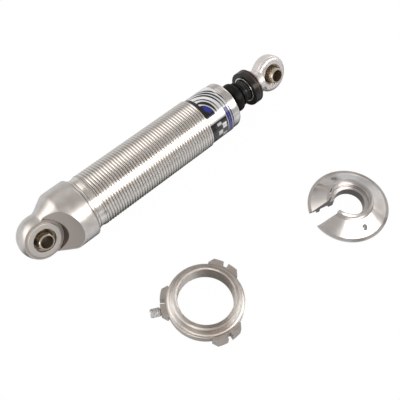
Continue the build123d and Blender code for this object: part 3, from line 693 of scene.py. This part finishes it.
# bored pieces of each eye's bearing: node, material, inside radius, colour, roughness
boredPieces = [
    ("ball", "BallSteel", 0.007, (0.22, 0.175, 0.125), {"lower": 0.2, "upper": 0.34}),
    ("spacers", "SpacerSteel", 0.006, (0.62, 0.56, 0.46), {"lower": 0.22, "upper": 0.34}),
    ("race", "RaceSteel", 0.009, (0.26, 0.22, 0.17), {"lower": 0.22, "upper": 0.22}),
]
for eye, standing in (("lower", "shock"), ("upper", "upperEye")):
    for piece, name, inside, colour, roughness in boredPieces:
        finishes[f"{eye}_{piece}"] = boredSteel(eye + name, standing, colour, inside, roughness[eye])
    ring = turnedMetal(eye + "RingSteel", standing, "Y", ringColour, 0.33, 1200, 0.10)
    finishes[eye + "_snap_rings"] = ring
innerAluminium = turnedMetal("innerAluminium", "shock", "X", (0.74, 0.74, 0.74), 0.28)
innerSteel = turnedMetal("innerSteel", "shock", "X", (0.55, 0.55, 0.56), 0.25)
for node in ("rod_guide", "foot_valve", "piston"):
    finishes[node] = innerAluminium
steelNodes = [
    "pressure_tube", "foot_shim", "foot_bolt", "piston_nut", "compression_shims", "rebound_shims",
    "rebound_stop", "metering_needle", "needle_pin",
]
for node in steelNodes:
    finishes[node] = innerSteel
for node, material in finishes.items():
    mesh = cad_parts[node].data
    mesh.materials.clear()
    mesh.materials.append(material)
print("finishes given to", len(finishes), "nodes")


# Threaded body: relief, run-out ring, rounded thread, label land and the bore inside
bodySet = {
    "socketFloor": 0.0313, "baseEnd": 0.0455, "reliefEnd": 0.053, "threadStart": 0.0553,
    "threadEnd": 0.1844, "tubeEnd": 0.2132,
    "boreRadius": 0.0225, "spigotRadius": 0.024, "reliefRadius": 0.025, "runOutRadius": 0.0256,
    "crestRadius": 0.026, "rootRadius": 0.0249, "landRadius": 0.0245,
    # ring and groove of the relief: distance past the base, and out from the relief's radius
    "reliefRing": [
        (0.0, -0.0004), (0.0006, 0.0005), (0.0016, 0.0008), (0.0026, 0.0005),
        (0.0031, -0.0003), (0.0035, -0.0003), (0.0038, 0.0),
    ],
    "bevel": 0.0003, "landGap": 0.00001,
    "within": 0.00005,                   # keeps the run-out and the crests inside the CAD's
    "fadeIn": (-0.0002, 0.002), "fadeOut": (0.0002, -0.001),     # from the thread's start and its end
    "pitch": 0.00291, "crestShare": 0.62, "stepsPerTurn": 9, "around": 140,
}


def threadRadius(station, angle, settings):
    # Root plus a power of a raised cosine of the turns: wide round crests and narrow valleys.
    # The thread fades out within a turn at each end.
    start, end = settings["threadStart"], settings["threadEnd"]
    turns = (station - start) / settings["pitch"] - angle / (2 * np.pi)
    wave = (0.5 + 0.5 * np.cos(2 * np.pi * turns)) ** settings["crestShare"]
    fadeIn = smoothStep(*(start + offset for offset in settings["fadeIn"]), station)
    fadeOut = smoothStep(*(end + offset for offset in settings["fadeOut"]), station)
    depth = (settings["crestRadius"] - settings["rootRadius"]) * fadeIn * fadeOut
    return settings["crestRadius"] - settings["within"] - depth * (1 - wave)


def threadedBody(settings):
    # Closed profile of (station, radius), without a radius in the thread, carried once round the axis
    start, end, base = settings["threadStart"], settings["threadEnd"], settings["baseEnd"]
    relief, reliefEnd, bevel = settings["reliefRadius"], settings["reliefEnd"], settings["bevel"]
    runOut = settings["runOutRadius"] - settings["within"]
    count = int((end - start) / settings["pitch"] * settings["stepsPerTurn"])
    profile = np.array([
        (settings["socketFloor"], settings["boreRadius"]),
        (settings["socketFloor"], settings["spigotRadius"]),
        (base, settings["spigotRadius"]),
        *[(base + past, relief + out) for past, out in settings["reliefRing"]],
        (reliefEnd - bevel, relief),
        (reliefEnd, relief + bevel / 2),
        (reliefEnd + bevel, runOut),
        (start - bevel, runOut),
        *[(station, np.nan) for station in np.linspace(start, end, count)],
        (end + settings["landGap"], settings["landRadius"]),
        (settings["tubeEnd"], settings["landRadius"]),
        (settings["tubeEnd"], settings["boreRadius"]),
        ((settings["tubeEnd"] + base) / 2, settings["boreRadius"]),
    ])
    station, angle = carriedRound(profile[:, 0], settings["around"])
    radius = np.repeat(profile[:, 1:2], settings["around"], axis=1)
    radius = np.where(np.isnan(radius), threadRadius(station, angle, settings), radius)
    return gridMesh("threadedBody", onShock(station, radius, angle), closedAlong=True)


body = threadedBody(bodySet)
body.data.set_sharp_from_angle(angle=np.radians(50))
body.data.materials.append(finishes["body_tube"])
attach(body, "body")
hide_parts("body_tube")
print("threaded body made")


# Bright ring in the recess of the flange: a lathe profile with rounded corners, carried round once
ringSet = {
    "start": 0.2501, "inner": 0.0119, "outer": 0.0131, "length": 0.0009,
    "roundness": 0.5, "around": 120, "corners": 24,
    "colour": (0.9, 0.89, 0.87), "roughness": 0.2,
}


def recessRing(settings):
    # Each point of the profile lies on a superellipse about the middle of the ring's section
    turn = np.linspace(0, 2 * np.pi, settings["corners"], endpoint=False)
    sides = np.stack([np.cos(turn), np.sin(turn)])
    sides = np.sign(sides) * np.abs(sides) ** settings["roundness"]
    station = settings["start"] + settings["length"] / 2 * (1 + sides[0])
    inner, outer = settings["inner"], settings["outer"]
    radius = (inner + outer) / 2 + (outer - inner) / 2 * sides[1]
    stationGrid, angle = carriedRound(station, settings["around"])
    points = onShock(stationGrid, radius[:, None], angle)
    return gridMesh("recessRing", points, closedAlong=True, flip=True)


brightRing = recessRing(ringSet)
ringFinish = turnedMetal("recessRingSteel", "shock", "X", ringSet["colour"], ringSet["roughness"], 900, 0.05)
brightRing.data.materials.append(ringFinish)
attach(brightRing, "rod")
print("recess ring made")


# Label film: black arcs on silver, a blue patch, a white stripe, a chequer of squares and a blue band
labelSet = {
    "start": 0.1847, "end": 0.2129, "radius": 0.0248, "inner": 0.02452,
    "within": 0.00002,                   # keeps the print inside the CAD's face
    "around": 880, "along": 110,
    "black": (0.006, 0.006, 0.007), "silver": (0.86, 0.86, 0.87), "white": (0.95, 0.95, 0.95),
    "blue": (0.018, 0.028, 0.30), "lilac": (0.36, 0.34, 0.60), "grey": (0.055, 0.052, 0.056),
    # a band is (from, to) or (from, to, softness of its edges), in shares of the pattern
    "repeats": 2, "shift": 0.325, "softness": 0.010,
    "upper": (0.0, 0.54), "lowerFrom": (0.52, 0.54),
    "silverAlong": (0.13, 0.15), "silverOut": (0.35, 0.38), "whiteArc": (0.66, 0.75, 0.02),
    # arcs about a point near the thread: how far out, and half as wide
    "arcMiddle": (0.10, 0.515), "arcReach": (0.86, 0.47), "arcSoftness": 0.008,
    "arcs": [(0.46, 0.050), (0.60, 0.022), (0.79, 0.034), (0.92, 0.036), (1.05, 0.034)],
    "arcEnds": 0.25, "arcFullness": 0.7,
    "patchOut": (0.17, 0.33), "patchBearing": (0.35, 1.35, 0.05),
    # shapes with a band round the tube and one along it
    "stripe": [(0.535, 0.625), (-0.05, 0.72)], "plate": [(0.655, 0.96), (0.20, 0.70)],
    "squares": 6.5, "squareRows": [[(0.0, 0.5, 0.04), (0.28, 0.46)], [(0.5, 1.0, 0.04), (0.48, 0.66)]],
    "capBands": [
        ("silver", (0.725, 0.75, 0.006)), ("blue", (0.765, 0.90)),
        ("lilac", (0.825, 0.84, 0.005)), ("lilac", (0.955, 0.975, 0.006)),
    ],
    "capLine": (0.915, 0.94, 0.006),
}


def labelColours(around, along, settings):
    # around runs 0 to 1 about the tube from its underside, along 0 to 1 from the thread to the cap.
    # Each shape is a smooth mask; later shapes lie over earlier ones.
    part = ((around - settings["shift"]) * settings["repeats"]) % 1.0
    colours = np.empty(around.shape + (3,))
    colours[...] = settings["black"]

    def layOver(mask, name):
        colours[...] = colours * (1 - mask[..., None]) + np.array(settings[name]) * mask[..., None]

    def band(value, low, high, soft=settings["softness"]):
        return smoothStep(low - soft, low + soft, value) * (1 - smoothStep(high - soft, high + soft, value))

    middle, reach = settings["arcMiddle"], settings["arcReach"]
    out = np.hypot((along - middle[0]) / reach[0], (part - middle[1]) / reach[1])
    bearing = np.arctan2((along - middle[0]) / reach[0], (middle[1] - part) / reach[1])
    # silver quarter with black arcs that swell in their middles
    upper = band(part, *settings["upper"])
    silver = upper * smoothStep(*settings["silverAlong"], along)
    layOver(silver * smoothStep(*settings["silverOut"], out), "silver")
    layOver(silver * band(out, *settings["whiteArc"]), "white")
    fullness = np.sin(np.clip(bearing, 0, np.pi / 2) * 2) ** settings["arcFullness"]
    for distance, halfWidth in settings["arcs"]:
        swell = halfWidth * (settings["arcEnds"] + fullness)
        arc = band(out, distance - swell, distance + swell, settings["arcSoftness"])
        layOver(upper * arc, "black")
    layOver(upper * band(out, *settings["patchOut"]) * band(bearing, *settings["patchBearing"]), "blue")
    # lower half: a white stripe, then a dark plate with two rows of squares in a chequer
    lower = smoothStep(*settings["lowerFrom"], part)
    roundBand, alongBand = settings["stripe"]
    layOver(band(part, *roundBand) * band(along, *alongBand), "white")
    roundBand, alongBand = settings["plate"]
    plate = band(part, *roundBand) * band(along, *alongBand)
    layOver(plate, "grey")
    square = (part * settings["squares"]) % 1.0
    for roundBand, alongBand in settings["squareRows"]:
        layOver(plate * band(square, *roundBand) * band(along, *alongBand), "white")
    # bright bands beside the cap, and one line right round
    for name, edges in settings["capBands"]:
        layOver(lower * band(along, *edges), name)
    layOver(band(along, *settings["capLine"]), "silver")
    return colours


def labelFilm(settings):
    # Closed ring: outer face of the film as a fine grid, thin inner face behind it
    around = np.arange(settings["around"]) / settings["around"]
    along = np.linspace(0, 1, settings["along"])
    alongGrid, aroundGrid = np.meshgrid(along, around, indexing="ij")
    station = settings["start"] + alongGrid * (settings["end"] - settings["start"])
    radius = np.full(station.shape, settings["radius"] - settings["within"])
    inside = np.full((1, settings["around"]), settings["inner"])
    station = np.concatenate([station, station[-1:], station[:1]])
    radius = np.concatenate([radius, inside, inside])
    angle = 2 * np.pi * np.concatenate([aroundGrid, aroundGrid[-1:], aroundGrid[:1]]) - np.pi / 2
    film = gridMesh("labelFilm", onShock(station, radius, angle), closedAlong=True)
    colours = np.full(station.shape + (4,), 1.0)
    colours[: settings["along"], :, :3] = labelColours(aroundGrid, alongGrid, settings)
    colours[settings["along"]:, :, :3] = settings["black"]
    layer = film.data.color_attributes.new("printColour", "FLOAT_COLOR", "POINT")
    layer.data.foreach_set("color", colours.reshape(-1).astype(np.float32))
    return film


def printedFilm(name):
    # Glossy print: its colours come with the mesh, silver parts are metallic, the rest is ink
    finish = Finish(name, "shock")
    attribute = finish.add("ShaderNodeAttribute")
    attribute.attribute_name = "printColour"
    colour = attribute.outputs["Color"]
    finish.feed("Base Color", colour)
    green = finish.add("ShaderNodeSeparateColor", Color=colour).outputs["Green"]
    finish.feed("Metallic", finish.between(green, 0.0, 0.4))
    finish.feed("Roughness", finish.between(finish.noiseAround(160.0, 3.0), 0.13, 0.20))
    finish.feed("Specular IOR Level", 0.1)
    finish.feed("Coat Weight", 1.0)
    finish.feed("Coat IOR", 1.55)
    finish.feed("Coat Roughness", 0.04)
    finish.bump([(finish.noiseAround(700.0, 2.0), 0.05, fineGrain)])
    return finish.material


label = labelFilm(labelSet)
label.data.materials.append(printedFilm("printedFilm"))
label.data.set_sharp_from_angle(angle=np.radians(50))
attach(label, "body")
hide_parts("body_label")
print("label made")


# Thread in the nut's bore: a closed sleeve whose outside is sunk in the nut's wall
nutThreadSet = {
    "low": 0.0012, "high": 0.0178, "rootRadius": 0.02532, "crestRadius": 0.0248, "backRadius": 0.0262,
    "pitch": 0.00291, "fade": 0.001, "steps": 60, "around": 150,
}


def nutThread(settings):
    # Radius falls from root to crest with a raised cosine of the turns, and fades at both ends
    low, high, fade = settings["low"], settings["high"], settings["fade"]
    height, angle = carriedRound(np.linspace(low, high, settings["steps"]), settings["around"])
    turns = height / settings["pitch"] - angle / (2 * np.pi)
    wave = 0.5 + 0.5 * np.cos(2 * np.pi * turns)
    ends = smoothStep(low, low + fade, height) * smoothStep(high, high - fade, height)
    radius = settings["rootRadius"] - (settings["rootRadius"] - settings["crestRadius"]) * wave * ends
    back = np.full((1, settings["around"]), settings["backRadius"])
    height = np.concatenate([height, height[-1:], height[:1]])
    radius = np.concatenate([radius, back, back])
    angle = np.concatenate([angle, angle[:2]])
    across, sideways = radius * np.cos(angle), radius * np.sin(angle)
    points = onFloorPiece(lay["nutPlace"], lay["nutTurn"], across, sideways, height)
    return gridMesh("nutThread", points, closedAlong=True, flip=True)


threadRing = nutThread(nutThreadSet)
threadRing.data.set_sharp_from_angle(angle=np.radians(50))
threadRing.data.materials.append(finishes["adjuster_nut"])
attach(threadRing, "nut")
print("nut thread made")


# Blend between the nut's pilot and its flange: a quarter of a hollow ellipse, its back sunk in the nut
nutBlendSet = {
    "low": 0.01052, "high": 0.0172, "inner": 0.03022, "outer": 0.0339, "sunk": 0.0004,
    "steps": 20, "around": 180,
}


def nutBlend(settings):
    # Out from the pilot and down to the flange with the sine and cosine of a quarter turn
    low, high, inner, outer = (settings[key] for key in ("low", "high", "inner", "outer"))
    turn = np.linspace(0, np.pi / 2, settings["steps"])
    across = outer - (outer - inner) * np.sin(turn)
    height = high - (high - low) * np.cos(turn)
    behind, below = inner - settings["sunk"], low - settings["sunk"]
    across = np.concatenate([across, [behind, behind, outer]])
    height = np.concatenate([height, [high, below, below]])
    out, angle = carriedRound(across, settings["around"])
    points = onFloorPiece(lay["nutPlace"], 0.0, out * np.cos(angle), out * np.sin(angle), height[:, None])
    return gridMesh("nutBlend", points, closedAlong=True)


blendRing = nutBlend(nutBlendSet)
blendRing.data.set_sharp_from_angle(angle=np.radians(50))
blendRing.data.materials.append(finishes["adjuster_nut"])
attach(blendRing, "nut")
print("nut blend made")


# Lock screw: knurled head, plain face with a hexagon socket, threaded shank
screwSet = {
    # degrees from the nut's turn to its lug, and on to the screw in the lug
    "bearing": lay["nutTurn"] + np.radians(120.0 + 10.8), "height": 0.0052,
    "shankStart": 0.02904, "headStart": 0.0403, "headEnd": 0.0493,
    "shankRadius": 0.00295, "tipLength": 0.0004, "tipShare": 0.8, "shankSteps": 70,
    "threadDepth": 0.0003, "threadPitch": 0.001,
    "headRadius": 0.004, "footShare": 0.86, "headSteps": 60,
    "knurlFrom": 0.0006, "knurlTo": 0.0008, "knurlDepth": 0.00028, "knurlWidth": 0.7,
    "knurls": 26, "knurlLead": 0.0095,
    "rim": [(0.0006, 0.95), (0.0, 0.82)],    # distance in from the end, share of the head's radius
    "socketRadius": 0.0018, "socketDepth": 0.0022, "socketRim": 0.0001, "socketRimShare": 1.02,
    "flatShare": 0.92, "around": 156,
}


def lockScrew(settings):
    # Profile of (distance out, radius, knurl share, thread share, hexagon share), closed at both poles
    start, foot, end = settings["shankStart"], settings["headStart"], settings["headEnd"]
    shank, head, socket = settings["shankRadius"], settings["headRadius"], settings["socketRadius"]
    shankOuts = np.linspace(start + settings["tipLength"], foot, settings["shankSteps"])
    headOuts = np.linspace(foot + settings["knurlFrom"], end - settings["knurlTo"], settings["headSteps"])
    profile = np.array([
        (start, 0, 0, 0, 0),
        (start, shank * settings["tipShare"], 0, 0, 0),
        *[(out, shank, 0, 1, 0) for out in shankOuts],
        (foot, head * settings["footShare"], 0, 0, 0),
        *[(out, head, 1, 0, 0) for out in headOuts],
        *[(end - inwards, head * share, 0, 0, 0) for inwards, share in settings["rim"]],
        (end, socket * settings["socketRimShare"], 0, 0, 1),
        (end - settings["socketRim"], socket, 0, 0, 1),
        (end - settings["socketDepth"], socket, 0, 0, 1),
        (end - settings["socketDepth"], 0, 0, 0, 0),
    ])
    out, angle = carriedRound(profile[:, 0], settings["around"])
    radius = np.repeat(profile[:, 1:2], settings["around"], axis=1)
    # diamond knurl: two crossed sets of helical V grooves
    lead = out / settings["knurlLead"]
    firstCut = np.abs(np.sin(settings["knurls"] / 2 * (angle + 2 * np.pi * lead)))
    secondCut = np.abs(np.sin(settings["knurls"] / 2 * (angle - 2 * np.pi * lead)))
    cut = 1 - np.minimum(np.minimum(firstCut, secondCut) / settings["knurlWidth"], 1)
    radius = radius - profile[:, 2:3] * settings["knurlDepth"] * cut
    turns = out / settings["threadPitch"] - angle / (2 * np.pi)
    radius = radius - profile[:, 3:4] * settings["threadDepth"] * (0.5 + 0.5 * np.cos(2 * np.pi * turns))
    # hexagon: the radius grows as one over the cosine of the angle from the nearest flat
    fromFlat = (angle + np.pi / 6) % (np.pi / 3) - np.pi / 6
    radius = np.where(profile[:, 4:5] > 0, radius * settings["flatShare"] / np.cos(fromFlat), radius)
    sideways, up = radius * np.cos(angle), radius * np.sin(angle)
    points = onFloorPiece(lay["nutPlace"], settings["bearing"], out, sideways, settings["height"] + up)
    return gridMesh("lockScrew", points)


def mergePoles(thing):
    # Welds the points that share one place, so that both poles are closed
    work = bmesh.new()
    work.from_mesh(thing.data)
    bmesh.ops.remove_doubles(work, verts=work.verts, dist=1e-7)
    work.to_mesh(thing.data)
    work.free()


screw = lockScrew(screwSet)
mergePoles(screw)
screw.data.set_sharp_from_angle(angle=np.radians(40))
screw.data.materials.append(finishes["lock_screw"])
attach(screw, "screw")
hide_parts("lock_screw")
print("lock screw made")
